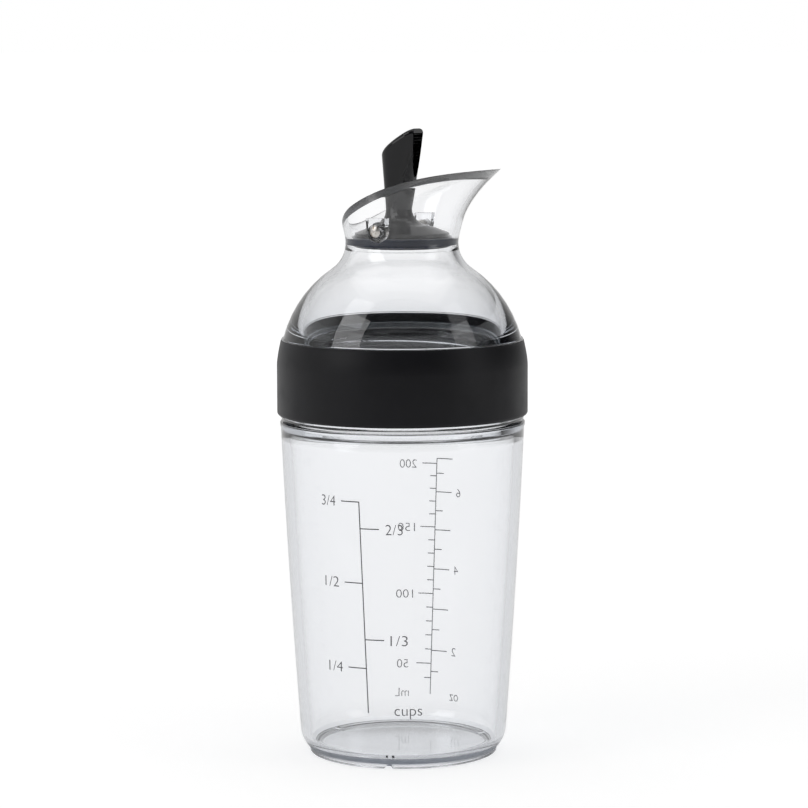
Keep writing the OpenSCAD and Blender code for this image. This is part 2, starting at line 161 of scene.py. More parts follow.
class StopperSizes(bpy.types.PropertyGroup):
    """Sizes of the lever, its base and the seal."""

    hub_r: length("Hub radius", "Radius of the hub inside the seal", 10.4)
    snap_r: length("Snap radius", "Radius of the lip that holds the seal", 11)
    snap_t: length("Snap lip", "Thickness of that lip", 0.6)
    seal_z: length("Seal height", "Height of the seal's lower face", 142.05)
    flange_z: length("Flange height", "Height of the flange's underside", 145.35)
    flange_r: length("Flange radius", "Radius of the flange", 13.2)
    flange_t: length("Flange edge", "Thickness of the flange at its edge", 1.1)
    cone_h: length("Cone height", "Height of the cone on the flange", 2)
    cone_r: length("Cone radius", "Radius where the cone meets the flare", 7.6)
    flare_h: length("Flare height", "Height of the stem's flare above the cone", 4.5)
    side: length("Flat sides", "Distance from the axis to the flange's flat sides", 12.3)
    barrel_r: length("Barrel radius", "Radius of the hinge barrel", 2.6)
    bore_r: length("Barrel bore", "Radius of the barrel's bore", 1.86)
    stem_back: length("Stem back", "Position of the stem's back edge", -4.5)
    stem_front: length("Stem front", "Position of the stem's front edge", 2.6)
    pad_back: length("Thumb pad back", "Position of the thumb pad's back edge", -5.6)
    pad_front: length("Thumb pad front", "Position of the thumb pad's front edge", 6.3)
    stem_w: length("Stem width", "Width of the stem", 6)
    pad_w: length("Thumb pad width", "Width of the thumb pad", 8)
    peak_z: length("Peak", "Height of the lever's peak", 175.2)
    drop: length("Thumb pad drop", "Drop from the peak to the back edge", 7.7)
    edge: length("Edge rounding", "Radius of the thumb pad's edge", 1.4)
    flat_reach: length("Flat reach", "Reach of the front flat's lower end", 4.15)
    flat_z: length("Flat height", "Height of the front flat's lower end", 161.5)
    flat_lean: angle("Flat lean", "Lean of the front flat from upright", 4.8)
    squareness: number("Squareness", "How square the lever is from above", 0.75)


class Finishes(bpy.types.PropertyGroup):
    """Colours of the finishes."""

    absorb: colour("Plastic depth", "Colour of light deep inside the clear plastic", (0.74, 0.765, 0.81))
    density: number("Plastic density", "How quickly the clear plastic takes light, per metre", 92)
    frost: number("Frost", "Roughness of the bevel inside the funnel's rim", 0.33)
    band: colour("Grip band", "Colour of the soft band", (0.006, 0.006, 0.008))
    lever: colour("Lever", "Colour of the lever", (0.004, 0.004, 0.005))
    seal: colour("Seal", "Colour of the stopper's seal", (0.006, 0.012, 0.03))
    gasket: colour("Gasket", "Colour of the lid's gasket", (0.6, 0.64, 0.66))
    steel: colour("Pin", "Colour of the steel pin", (0.62, 0.6, 0.57))
    ink: colour("Ink", "Colour of the printed scales", (0.1, 0.1, 0.11))


class StageSizes(bpy.types.PropertyGroup):
    """Camera, lamps and floor."""

    distance: length("Camera distance", "Level distance from the axis to the camera", 880)
    height: length("Camera height", "Height of the camera", 201)
    aim_z: length("Aim height", "Height of the point the camera looks at", 98.2)
    aim_side: length("Aim side", "How far right of the axis the camera looks", 0.43)
    lens: number("Lens", "Focal length on a 36 mm sensor", 140.97)
    world_light: number("World light", "Strength of the soft light from all round", 0.45)
    near_glow: number("Near glow", "How much the floor is lifted to white by the bottle", 0.58)
    far_glow: number("Far glow", "How much the floor is lifted to white away from the lamps", 0.77)
    edge_dark: number("Edge darkness", "How much light is lost to reflections inside clear plastic", 0.3)
    left_dark: number("Left side", "How bright the studio is far to the left", 1)
    right_dark: number("Right side", "How bright the studio is far to the right", 0.04)
    over_dark: number("Overhead", "How bright the studio is overhead", 0.7)
    front_dark: number("Front", "How bright the studio is behind the camera", 0.08)
    azimuth: angle("Azimuth", "Direction of the camera, seen from above", 28)
    roll: angle("Roll", "Tilt of the camera about its own line of sight", -0.17)


GROUPS = {
    "bottle_tumbler": TumblerSizes,
    "bottle_lid": LidSizes,
    "bottle_spout": SpoutSizes,
    "bottle_stopper": StopperSizes,
    "bottle_finish": Finishes,
    "bottle_stage": StageSizes,
}


def sizes(name):
    """The scene's settings of one kind, such as tumbler."""
    return getattr(bpy.context.scene, "bottle_" + name)


# Drawing and turning outlines


def trace(start, moves, closed=True):
    """Draws an outline: a pair goes straight to a radius and height, a triple turns about a centre."""
    bm = bmesh.new()
    first = last = bm.verts.new((start[0], 0, start[1]))
    for move in moves:
        if len(move) == 2:
            end = bm.verts.new((move[0], 0, move[1]))
            bm.edges.new((last, end))
            last = end
            continue
        centre_r, centre_z, degrees = move
        turned = bmesh.ops.spin(
            bm,
            geom=[last],
            cent=(centre_r, 0, centre_z),
            axis=(0, -1, 0),
            angle=math.radians(degrees),
            steps=max(2, round(abs(degrees) / ARC_STEP)),
        )
        last = next(g for g in turned["geom_last"] if isinstance(g, bmesh.types.BMVert))
    if closed:
        bm.edges.new((last, first))
    return bm


def turn(bm, steps=AROUND):
    """Turns an outline about the Z axis into a closed shape."""
    bmesh.ops.spin(
        bm,
        geom=bm.verts[:] + bm.edges[:],
        cent=(0, 0, 0),
        axis=(0, 0, 1),
        angle=2 * math.pi,
        steps=steps,
        use_merge=True,
    )
    bmesh.ops.remove_doubles(bm, verts=bm.verts[:], dist=MM / 1000)
    bmesh.ops.recalc_face_normals(bm, faces=bm.faces[:])
    return bm


def ease(t):
    """A curve that leaves 0 and reaches 1 level."""
    s = max(0, min(1, t))
    return s * s * (3 - 2 * s)


def loose(name, bm):
    """A bmesh as an object of its own, for a moment."""
    mesh = bpy.data.meshes.new(name)
    bm.to_mesh(mesh)
    bm.free()
    made = bpy.data.objects.new(name, mesh)
    bpy.context.scene.collection.objects.link(made)
    return made


def combine(bm, tool, operation):
    """Joins two closed shapes, or cuts one with the other."""
    base, other = loose("base", bm), loose("tool", tool)
    change = base.modifiers.new("combine", "BOOLEAN")
    change.operation = operation
    change.solver = "EXACT"
    change.object = other
    bpy.context.view_layer.update()
    seen = base.evaluated_get(bpy.context.evaluated_depsgraph_get())
    result = bmesh.new()
    result.from_mesh(seen.to_mesh())
    seen.to_mesh_clear()
    for made in (base, other):
        mesh = made.data
        bpy.data.objects.remove(made)
        bpy.data.meshes.remove(mesh)
    return result


def rod(radius, half_length, z, segments=64):
    """A closed rod along Y at a height."""
    bm = bmesh.new()
    bmesh.ops.create_cone(
        bm, cap_ends=True, segments=segments, radius1=radius, radius2=radius, depth=2 * half_length
    )
    bmesh.ops.rotate(bm, verts=bm.verts, matrix=Matrix.Rotation(math.pi / 2, 3, "X"))
    bmesh.ops.translate(bm, verts=bm.verts, vec=(0, 0, z))
    return bm


def finish_piece(name, bm, material, body, nodes=(), crease=SHARP_ANGLE):
    """Turns a bmesh into a finished piece that rides on a body and stands for its nodes."""
    for face in bm.faces:
        face.smooth = True
    for edge in bm.edges:
        edge.smooth = len(edge.link_faces) == 2 and edge.calc_face_angle(0) < crease
    piece = loose(name, bm)
    piece.data.materials.append(material)
    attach(piece, body)
    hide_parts(*nodes)
    return piece


# Shared shader groups


def new_group(name, inputs, outputs):
    """An empty shader group with number inputs and the named outputs."""
    group = bpy.data.node_groups.new(name, "ShaderNodeTree")
    for label, value in inputs:
        socket = group.interface.new_socket(label, in_out="INPUT", socket_type="NodeSocketFloat")
        socket.default_value = value
    for label, kind in outputs:
        group.interface.new_socket(label, in_out="OUTPUT", socket_type=kind)
    return group, group.nodes.new("NodeGroupInput"), group.nodes.new("NodeGroupOutput")


def noise(tree, scale, detail, vector, roughness=0.5):
    """A noise texture on the given coordinates."""
    made = tree.nodes.new("ShaderNodeTexNoise")
    made.inputs["Scale"].default_value = scale
    made.inputs["Detail"].default_value = detail
    made.inputs["Roughness"].default_value = roughness
    tree.links.new(vector, made.inputs["Vector"])
    return made


def spread(tree, source, low, high, to_low, to_high):
    """Maps a value's range onto another; the new range may come from sockets."""
    made = tree.nodes.new("ShaderNodeMapRange")
    made.inputs["From Min"].default_value = low
    made.inputs["From Max"].default_value = high
    for label, end in (("To Min", to_low), ("To Max", to_high)):
        if isinstance(end, bpy.types.NodeSocket):
            tree.links.new(end, made.inputs[label])
        else:
            made.inputs[label].default_value = end
    tree.links.new(source, made.inputs["Value"])
    return made


def math_node(tree, operation, first, second):
    """A math node fed by sockets or plain numbers."""
    made = tree.nodes.new("ShaderNodeMath")
    made.operation = operation
    for socket, value in zip(made.inputs, (first, second)):
        if isinstance(value, bpy.types.NodeSocket):
            tree.links.new(value, socket)
        else:
            socket.default_value = value
    return made.outputs[0]


def handling_group():
    """Smudges and fine rubbed marks left by hands: a roughness value and a height."""
    group, into, out = new_group(
        "handling_marks",
        [("Clean", 0.02), ("Smudged", 0.08), ("Size", 60), ("Marks", 900)],
        [("Roughness", "NodeSocketFloat"), ("Height", "NodeSocketFloat")],
    )
    place = group.nodes.new("ShaderNodeTexCoord").outputs["Object"]
    smudge = noise(group, 60, 3, place)
    group.links.new(into.outputs["Size"], smudge.inputs["Scale"])
    rough = spread(group, smudge.outputs["Fac"], 0.45, 0.75, into.outputs["Clean"], into.outputs["Smudged"])
    marks = noise(group, 900, 4, place, 0.6)
    group.links.new(into.outputs["Marks"], marks.inputs["Scale"])
    group.links.new(rough.outputs["Result"], out.inputs["Roughness"])
    group.links.new(marks.outputs["Fac"], out.inputs["Height"])
    return group


def tint_group():
    """A colour that drifts a little from place to place, as moulded plastic and rubber do."""
    group, into, out = new_group("tint_drift", [("Size", 80), ("Amount", 0.15)], [])
    for label, in_out in (("Colour", "INPUT"), ("Colour", "OUTPUT")):
        group.interface.new_socket(label, in_out=in_out, socket_type="NodeSocketColor")
    place = group.nodes.new("ShaderNodeTexCoord").outputs["Object"]
    drift = noise(group, 80, 4, place)
    group.links.new(into.outputs["Size"], drift.inputs["Scale"])
    less = group.nodes.new("ShaderNodeMath")
    less.operation = "SUBTRACT"
    less.inputs[0].default_value = 1
    group.links.new(into.outputs["Amount"], less.inputs[1])
    more = group.nodes.new("ShaderNodeMath")
    more.operation = "ADD"
    more.inputs[0].default_value = 1
    group.links.new(into.outputs["Amount"], more.inputs[1])
    value = spread(group, drift.outputs["Fac"], 0.3, 0.7, less.outputs[0], more.outputs[0])
    change = group.nodes.new("ShaderNodeHueSaturation")
    group.links.new(value.outputs["Result"], change.inputs["Value"])
    group.links.new(into.outputs["Colour"], change.inputs["Color"])
    group.links.new(change.outputs["Color"], out.inputs["Colour"])
    return group


def place_group(tree, group, **values):
    """Puts a shared group into a material with its own values."""
    made = tree.nodes.new("ShaderNodeGroup")
    made.node_tree = group
    for label, value in values.items():
        made.inputs[label].default_value = value
    return made


def bump(tree, height, strength, distance):
    """A bump node driven by a height."""
    made = tree.nodes.new("ShaderNodeBump")
    made.inputs["Strength"].default_value = strength
    made.inputs["Distance"].default_value = distance
    tree.links.new(height, made.inputs["Height"])
    return made


def new_material(name):
    """A material with its Principled shader."""
    material = bpy.data.materials.new(name)
    material.use_nodes = True
    return material, material.node_tree, material.node_tree.nodes["Principled BSDF"]


def shared(name):
    """A shared group, built the first time it is asked for."""
    makers = {"handling_marks": handling_group, "tint_drift": tint_group}
    return bpy.data.node_groups.get(name) or makers[name]()


def opaque_finish(name, rgb, clean, smudged, strength, grain=900, drift=0.2, specular=0.5):
    """A solid plastic or rubber: drifting colour, handled roughness and a fine grain."""
    material, tree, shader = new_material(name)
    tint = place_group(tree, shared("tint_drift"), Size=70, Amount=drift, Colour=(*rgb, 1))
    marks = place_group(
        tree, shared("handling_marks"), Clean=clean, Smudged=smudged, Size=110, Marks=grain
    )
    tree.links.new(tint.outputs["Colour"], shader.inputs["Base Color"])
    tree.links.new(marks.outputs["Roughness"], shader.inputs["Roughness"])
    relief = bump(tree, marks.outputs["Height"], strength, 0.05 * MM)
    tree.links.new(relief.outputs["Normal"], shader.inputs["Normal"])
    shader.inputs["Specular IOR Level"].default_value = specular
    return material


def clear_plastic(name):
    """Polished clear plastic that takes light along its depth and lets lamps through."""
    found = bpy.data.materials.get(name)
    if found:
        return found
    tone = sizes("finish")
    material, tree, shader = new_material(name)
    shader.inputs["Base Color"].default_value = (1, 1, 1, 1)
    shader.inputs["Transmission Weight"].default_value = 1
    shader.inputs["IOR"].default_value = 1.49
    marks = place_group(
        tree, shared("handling_marks"), Clean=0.01, Smudged=0.045, Size=45, Marks=260
    )
    frost = tree.nodes.new("ShaderNodeAttribute")
    frost.attribute_name = "frost"
    dull = math_node(tree, "MULTIPLY", frost.outputs["Fac"], tone.frost)
    rough = math_node(tree, "MAXIMUM", marks.outputs["Roughness"], dull)
    tree.links.new(rough, shader.inputs["Roughness"])
    relief = bump(tree, marks.outputs["Height"], 0.05, 0.02 * MM)
    tree.links.new(relief.outputs["Normal"], shader.inputs["Normal"])
    path = tree.nodes.new("ShaderNodeLightPath")
    clear = tree.nodes.new("ShaderNodeBsdfTransparent")
    clear.inputs["Color"].default_value = (0.93, 0.94, 0.95, 1)
    mix = tree.nodes.new("ShaderNodeMixShader")
    tree.links.new(path.outputs["Is Shadow Ray"], mix.inputs["Fac"])
    tree.links.new(shader.outputs["BSDF"], mix.inputs[1])
    tree.links.new(clear.outputs["BSDF"], mix.inputs[2])
    depth = tree.nodes.new("ShaderNodeVolumeAbsorption")
    depth.inputs["Color"].default_value = (*tone.absorb, 1)
    depth.inputs["Density"].default_value = tone.density
    output = tree.nodes["Material Output"]
    tree.links.new(mix.outputs["Shader"], output.inputs["Surface"])
    tree.links.new(depth.outputs["Volume"], output.inputs["Volume"])
    return material


def gasket_silicone():
    """Clear silicone with a satin face."""
    tone = sizes("finish")
    material = opaque_finish("gasket_silicone", tone.gasket, 0.12, 0.3, 0.2, drift=0.05)
    shader = material.node_tree.nodes["Principled BSDF"]
    shader.inputs["Transmission Weight"].default_value = 0.92
    shader.inputs["IOR"].default_value = 1.41
    return material


def pin_steel():
    """Drawn steel wire with fine marks along its length and brown patches of painted reflection in its
    colour.
    """
    tone = sizes("finish")
    material, tree, shader = new_material("pin_steel")
    shader.inputs["Metallic"].default_value = 1
    place = tree.nodes.new("ShaderNodeTexCoord").outputs["Object"]
    # Brown patches painted into the steel's colour are painted reflection, not stains on the wire
    painted_reflection = noise(tree, 900, 5, place, 0.7)
    share = spread(tree, painted_reflection.outputs["Fac"], 0.5, 0.68, 0, 1)
    blend = tree.nodes.new("ShaderNodeMix")
    blend.data_type = "RGBA"
    blend.inputs["A"].default_value = (*tone.steel, 1)
    # The brown of the painted reflection
    blend.inputs["B"].default_value = (0.22, 0.16, 0.11, 1)
    tree.links.new(share.outputs["Result"], blend.inputs["Factor"])
    tree.links.new(blend.outputs["Result"], shader.inputs["Base Color"])
    stretch = tree.nodes.new("ShaderNodeMapping")
    stretch.inputs["Scale"].default_value = (9000, 300, 9000)
    tree.links.new(place, stretch.inputs["Vector"])
    drawn = noise(tree, 1, 3, stretch.outputs["Vector"])
    rough = spread(tree, drawn.outputs["Fac"], 0.3, 0.7, 0.2, 0.42)
    tree.links.new(rough.outputs["Result"], shader.inputs["Roughness"])
    relief = bump(tree, drawn.outputs["Fac"], 0.3, 0.03 * MM)
    tree.links.new(relief.outputs["Normal"], shader.inputs["Normal"])
    return material


def printing_ink():
    """Dark grey ink, a little uneven where the printing pad lifted."""
    return opaque_finish("printing_ink", sizes("finish").ink, 0.45, 0.7, 0.3, grain=2500, drift=0.5)


# The tumbler


def side_r(z):
    """Outside radius of the tumbler's side at a height."""
    t = sizes("tumbler")
    low = t.foot_h + t.corner_h
    high = t.shoulder_z - t.bead_h
    share = (z - low) / (high - low)
    return t.low_r + (t.top_r - t.low_r) * share + 4 * t.bow * share * (1 - share)


def levels(low, high, count):
    """Heights in equal steps, both ends included."""
    return [low + (high - low) * i / count for i in range(count + 1)]


def corner_points(t, steps=12):
    """The rounded corner from the foot ring out to the side, as an ellipse."""
    start = math.radians(-60)
    middle = (t.foot_r - t.low_r * math.cos(start)) / (1 - math.cos(start))
    reach, drop = t.low_r - middle, -t.corner_h / math.sin(start)
    turns = [start * (1 - i / steps) for i in range(steps + 1)]
    top = t.foot_h + t.corner_h
    return [(middle + reach * math.cos(a), top + drop * math.sin(a)) for a in turns]


def throat_points(t, inner_r, low_z, steps=10):
    """The rounded throat from the side wall up into the neck."""
    bore = t.neck_r - t.neck_wall
    turns = [math.radians(a) for a in levels(0, 90, steps)]
    return [(bore + (inner_r - bore) * math.cos(a), low_z + t.throat_h * math.sin(a)) for a in turns]


def tumbler_shape():
    """The tumbler's wall, turned from one outline."""
    t = sizes("tumbler")
    corner_top = t.foot_h + t.corner_h
    bead_low = t.shoulder_z - t.bead_h
    bead_r = t.top_r + t.bead_out
    edge = t.bead_h / 3
    rim_z = t.shoulder_z + t.neck_h
    bore = t.neck_r - t.neck_wall
    throat_z = t.shoulder_z - t.ledge - t.throat_h
    floor_corner_z = t.floor_t + t.floor_round
    floor_r = side_r(floor_corner_z) - t.wall
    inner_foot = t.foot_r - t.foot_width
    moves = [(inner_foot - t.foot_bevel, t.foot_recess)]
    moves += [(inner_foot, t.foot_recess - t.foot_bevel), (inner_foot, t.foot_bevel)]
    moves += [(inner_foot + t.foot_bevel, t.foot_bevel, 90)]
    moves += [(t.foot_r - t.foot_bevel, 0), (t.foot_r - t.foot_bevel, t.foot_bevel, 90)]
    moves += corner_points(t)
    moves += [(side_r(z), z) for z in levels(corner_top, bead_low, 24)[1:]]
    moves += [(bead_r, bead_low + edge), (bead_r, t.shoulder_z - edge)]
    moves += [(bead_r - edge, t.shoulder_z - edge, 90)]
    moves += [(t.neck_r + t.neck_round, t.shoulder_z)]
    moves += [(t.neck_r + t.neck_round, t.shoulder_z + t.neck_round, -90)]
    moves += [(t.neck_r, rim_z - t.neck_round), (t.neck_r - t.neck_round, rim_z - t.neck_round, 90)]
    moves += [(bore + t.neck_round, rim_z), (bore + t.neck_round, rim_z - t.neck_round, 90)]
    moves += reversed(throat_points(t, side_r(throat_z) - t.wall, throat_z))
    moves += [(side_r(z) - t.wall, z) for z in reversed(levels(floor_corner_z, throat_z, 24)[:-1])]
    moves += [(floor_r - t.floor_round, floor_corner_z, -90), (0, t.floor_t)]
    return turn(trace((0, t.foot_recess), moves, closed=False))


def thread_ridge(root_r, height, start_z, first_turn, turns):
    """A helical ridge with faded ends; a negative height stands inwards."""
    t = sizes("tumbler")
    steps = 96
    bm = bmesh.new()
    section = [
        (root_r, -t.thread_foot / 2),
        (root_r + height, -t.thread_crest / 2),
        (root_r + height, t.thread_crest / 2),
        (root_r, t.thread_foot / 2),
    ]
    start = first_turn * 2 * math.pi
    corners = [bm.verts.new((r, 0, start_z + z)) for r, z in section]
    face = bm.faces.new(corners)
    bmesh.ops.rotate(bm, verts=bm.verts, cent=(0, 0, 0), matrix=Matrix.Rotation(start, 3, "Z"))
    bmesh.ops.spin(
        bm,
        geom=[face],
        cent=(0, 0, 0),
        axis=(0, 0, 1),
        dvec=(0, 0, t.pitch / steps),
        angle=2 * math.pi * turns,
        steps=round(steps * turns),
    )
    fade = 0.08
    for vert in bm.verts:
        angle = math.atan2(vert.co.y, vert.co.x) - start
        whole = round(((vert.co.z - start_z) / t.pitch) - angle / (2 * math.pi))
        along = whole + angle / (2 * math.pi)
        rise = ease(min(along, turns - along) / fade)
        radius = math.hypot(vert.co.x, vert.co.y)
        kept = root_r + (radius - root_r) * rise
        vert.co.x *= kept / radius
        vert.co.y *= kept / radius
    bmesh.ops.recalc_face_normals(bm, faces=bm.faces[:])
    return bm


def notch_tool(angle):
    """The wedge that cuts one drain notch in the foot ring."""
    t = sizes("tumbler")
    bm = bmesh.new()
    bmesh.ops.create_cube(bm, size=1)
    bmesh.ops.scale(bm, verts=bm.verts, vec=(t.foot_width * 2, t.notch_w * 1.2, t.foot_recess * 2))
    top = [v for v in bm.verts if v.co.z > 0]
    bmesh.ops.scale(bm, verts=top, vec=(1, 0.3, 1))
    bmesh.ops.translate(bm, verts=bm.verts, vec=(t.foot_r - t.foot_width / 2, 0, 0))
    bmesh.ops.rotate(bm, verts=bm.verts, cent=(0, 0, 0), matrix=Matrix.Rotation(angle, 3, "Z"))
    return bm


class BOTTLE_OT_tumbler(bpy.types.Operator):
    """Adds the clear tumbler with its foot ring, shoulder and threaded neck"""

    bl_idname = "bottle.tumbler"
    bl_label = "Tumbler"

    def execute(self, context):
        t = sizes("tumbler")
        shape = tumbler_shape()
        thread_z = t.shoulder_z + 4.2 * MM
        ridge = thread_ridge(t.neck_r - 0.2 * MM, t.thread_depth + 0.2 * MM, thread_z, 0, 1.5)
        shape = combine(shape, ridge, "UNION")
        for i in range(3):
            shape = combine(shape, notch_tool(math.radians(-71 + 120 * i)), "DIFFERENCE")
        frost = shape.verts.layers.float.new("frost")
        for vert in shape.verts:
            outside = math.hypot(vert.co.x, vert.co.y) > t.foot_r - HAIR
            vert[frost] = 1.8 if outside and t.foot_h - HAIR < vert.co.z < t.frost_z else 0
        finish_piece(
            "tumbler_clear", shape, clear_plastic("clear_plastic"), "tumbler", ["tumbler"]
        )
        return {"FINISHED"}


# The lid with its spout


def funnel_r(angle, z):
    """Outside radius of the funnel in a direction, at a height."""
    lid, s = sizes("lid"), sizes("spout")
    up = max(0, (z - lid.waist_z) / s.tip_h)
    back = s.back_flare * ease(up / s.back_end)
    front = (s.tip_reach - lid.waist_r) * up**s.flare_power
    ahead = ((1 + math.cos(angle)) / 2) ** s.sharpness
    more = front - back
    fade = ease(up / s.back_end)
    smooth = (more + math.sqrt(more * more + (s.crease * fade) ** 2)) / 2
    return lid.waist_r + back + smooth * ahead


def rim_height(x):
    """Height of the rim above a distance in front of the axis."""
    lid, s = sizes("lid"), sizes("spout")
    centre_x = s.tip_reach + s.arc_lead
    centre_z = lid.waist_z + s.tip_h - math.sqrt(s.arc_r**2 - s.arc_lead**2)
    start = lid.waist_r / 2
    dip = max(0, (-start - x) / (lid.waist_r + s.back_flare - start))
    return centre_z + math.sqrt(s.arc_r**2 - (x - centre_x) ** 2) - s.back_dip * dip * dip


def rim_at(angle):
    """Height where the funnel's wall meets the rim in a direction."""
    z = sizes("lid").waist_z + sizes("spout").tip_h
    for _ in range(8):
        z = rim_height(funnel_r(angle, z) * math.cos(angle))
    return z


def bevel_rise(out, round_from):
    """Share of the rim's height at a place across it, from -1 inside to 1 outside."""
    across = max(0, out - round_from) / (1 - round_from)
    return min((1 + out) / 2, 0.9 * math.sqrt(max(0, 1 - across * across))) / 0.86


def shape_funnel(bm):
    """Moves the straight tube above the waist into the pouring funnel, with a bevel inside its rim."""
    lid, s = sizes("lid"), sizes("spout")
    lip = s.wall
    round_from = 0.6
    frost = bm.verts.layers.float.new("frost")
    middle = (lid.waist_r + s.bore_r) / 2
    half = (lid.waist_r - s.bore_r) / 2
    straight_top = lid.waist_z + s.tip_h
    for vert in bm.verts:
        if vert.co.z <= lid.waist_z + HAIR:
            continue
        angle = math.atan2(vert.co.y, vert.co.x)
        radius = math.hypot(vert.co.x, vert.co.y)
        top = rim_at(angle) - lip
        if vert.co.z > straight_top + HAIR:
            out = (radius - middle) / half
            z = top + lip * bevel_rise(out, round_from)
            new_r = funnel_r(angle, z) - s.wall * (1 - out) / 2
            if out < round_from:
                vert[frost] = 1
        else:
            share = (vert.co.z - lid.waist_z) / s.tip_h
            z = lid.waist_z + (top - lid.waist_z) * share
            new_r = funnel_r(angle, z)
            if radius < middle:
                new_r = max(s.bore_r, new_r - s.wall)
        vert.co = (new_r * math.cos(angle), new_r * math.sin(angle), z)


def dome_centre():
    """Centre of the dome's outer curve, which leaves the band's seat and runs into the waist's fillet."""
    lid = sizes("lid")
    way = Vector((lid.waist_r + lid.waist_fillet - lid.seat_r, lid.waist_z - lid.seat_top_z))
    far = way.length
    along = (lid.dome_r**2 - (lid.dome_r + lid.waist_fillet) ** 2 + far**2) / (2 * far)
    across = math.sqrt(lid.dome_r**2 - along**2)
    r = lid.seat_r + (way.x * along - way.y * across) / far
    return r, lid.seat_top_z + (way.y * along + way.x * across) / far


def inner_centre():
    """Centre of the dome's inner curve, which leaves its foot upright."""
    lid = sizes("lid")
    r = lid.foot_r - lid.inner_r
    reach = lid.inner_r + lid.waist_fillet + lid.dome_wall
    return r, lid.waist_z - math.sqrt(reach**2 - (lid.waist_r + lid.waist_fillet - r) ** 2)


def steepness(centre, point):
    """Angle in degrees, above level, of the way from a curve's centre to a point."""
    return math.degrees(math.atan2(point[1] - centre[1], point[0] - centre[0]))


def lid_outline():
    """The lid's outline, with a straight tube where the funnel goes."""
    lid, s = sizes("lid"), sizes("spout")
    edge = lid.lip_h / 3
    chamfer = 0.4 * MM
    fillet = (lid.waist_r + lid.waist_fillet, lid.waist_z)
    outer, inner = dome_centre(), inner_centre()
    outer_meet, inner_meet = steepness(outer, fillet), steepness(inner, fillet)
    seat_turn = steepness(outer, (lid.seat_r, lid.seat_top_z))
    inner_fillet = lid.waist_fillet + lid.dome_wall
    ledge_turn = math.degrees(math.asin((lid.waist_z - s.bore_z) / inner_fillet))
    ledge_r = fillet[0] - inner_fillet * math.cos(math.radians(ledge_turn))
    half = (lid.waist_r - s.bore_r) / 2
    top = lid.waist_z + s.tip_h
    moves = [(lid.lip_r - edge, lid.low_z), (lid.lip_r - edge, lid.low_z + edge, 90)]
    moves += [(lid.lip_r, lid.low_z + lid.lip_h), (lid.seat_r, lid.low_z + lid.lip_h)]
    moves += [(lid.seat_r, lid.seat_top_z - lid.ridge_h)]
    moves += [(lid.seat_r + lid.ridge_out, lid.seat_top_z - lid.ridge_h)]
    moves += [(lid.seat_r + lid.ridge_out, lid.seat_top_z - lid.ridge_h / 3)]
    moves += [(lid.seat_r + lid.ridge_out * 0.6, lid.seat_top_z)]
    moves += [(lid.seat_r, lid.seat_top_z), (*outer, outer_meet - seat_turn)]
    moves += [(*fillet, -outer_meet)]
    moves += [(lid.waist_r, z) for z in levels(lid.waist_z, top, 36)[1:]]
    moves += [(lid.waist_r - half, top, 180)]
    moves += [(s.bore_r, z) for z in reversed(levels(lid.waist_z, top, 36)[:-1])]
    moves += [(s.bore_r, s.bore_z), (ledge_r, s.bore_z)]
    moves += [(*fillet, inner_meet - ledge_turn), (*inner, -inner_meet)]
    moves += [(lid.foot_r, lid.ceiling_z + chamfer), (lid.foot_r + chamfer, lid.ceiling_z)]
    moves += [(lid.skirt_r - chamfer, lid.ceiling_z), (lid.skirt_r, lid.ceiling_z - chamfer)]
    moves += [(lid.skirt_r, lid.low_z + chamfer)]
    return trace((lid.skirt_r + chamfer, lid.low_z), moves)


def hinge_pad(side):
    """One U-shaped pad inside the funnel, as deep as the funnel's wall."""
    lid, s = sizes("lid"), sizes("spout")
    bm = trace((-s.pad_r, s.pin_z), [(0, s.pin_z, 180), (s.pad_r, s.pin_z + s.pad_top)])
    last = [v for v in bm.verts if v.co.z > s.pin_z + s.pad_top - HAIR][0]
    first = min(bm.verts, key=lambda v: (v.co.x, abs(v.co.z - s.pin_z)))
    bm.edges.remove(bm.edges.get((last, first)))
    corner = bm.verts.new((-s.pad_r, 0, s.pin_z + s.pad_top))
    bm.edges.new((last, corner))
    bm.edges.new((corner, first))
    face = bmesh.ops.contextual_create(bm, geom=bm.edges[:])["faces"][0]
    depth = (lid.waist_r + s.bore_r) / 2 - s.pad_face
    bmesh.ops.translate(bm, verts=bm.verts, vec=(0, s.pad_face, 0))
    grown = bmesh.ops.extrude_face_region(bm, geom=[face])["geom"]
    ends = [g for g in grown if isinstance(g, bmesh.types.BMVert)]
    bmesh.ops.translate(bm, verts=ends, vec=(0, depth, 0))
    if side < 0:
        bmesh.ops.rotate(bm, verts=bm.verts, cent=(0, 0, 0), matrix=Matrix.Rotation(math.pi, 3, "Z"))
    bmesh.ops.recalc_face_normals(bm, faces=bm.faces[:])
    return bm


class BOTTLE_OT_lid(bpy.types.Operator):
    """Adds the clear lid: skirt with its thread, dome, pouring funnel and hinge pads"""

    bl_idname = "bottle.lid"
    bl_label = "Lid"

    def execute(self, context):
        t, lid, s = sizes("tumbler"), sizes("lid"), sizes("spout")
        shape = turn(lid_outline())
        shape_funnel(shape)
        bmesh.ops.recalc_face_normals(shape, faces=shape.faces[:])
        thread_z = t.shoulder_z + 4.2 * MM - t.pitch / 4
        ridge = thread_ridge(
            lid.skirt_r + 0.2 * MM, -(t.thread_depth + 0.3 * MM), thread_z, 0.25, 1
        )
        shape = combine(shape, ridge, "UNION")
        for side in (1, -1):
            shape = combine(shape, hinge_pad(side), "UNION")
        shape = combine(shape, rod(s.pin_r + 0.02 * MM, 2 * lid.waist_r, s.pin_z), "DIFFERENCE")
        finish_piece("lid_clear", shape, clear_plastic("clear_plastic"), "lid", ["lid_shell"])
        return {"FINISHED"}


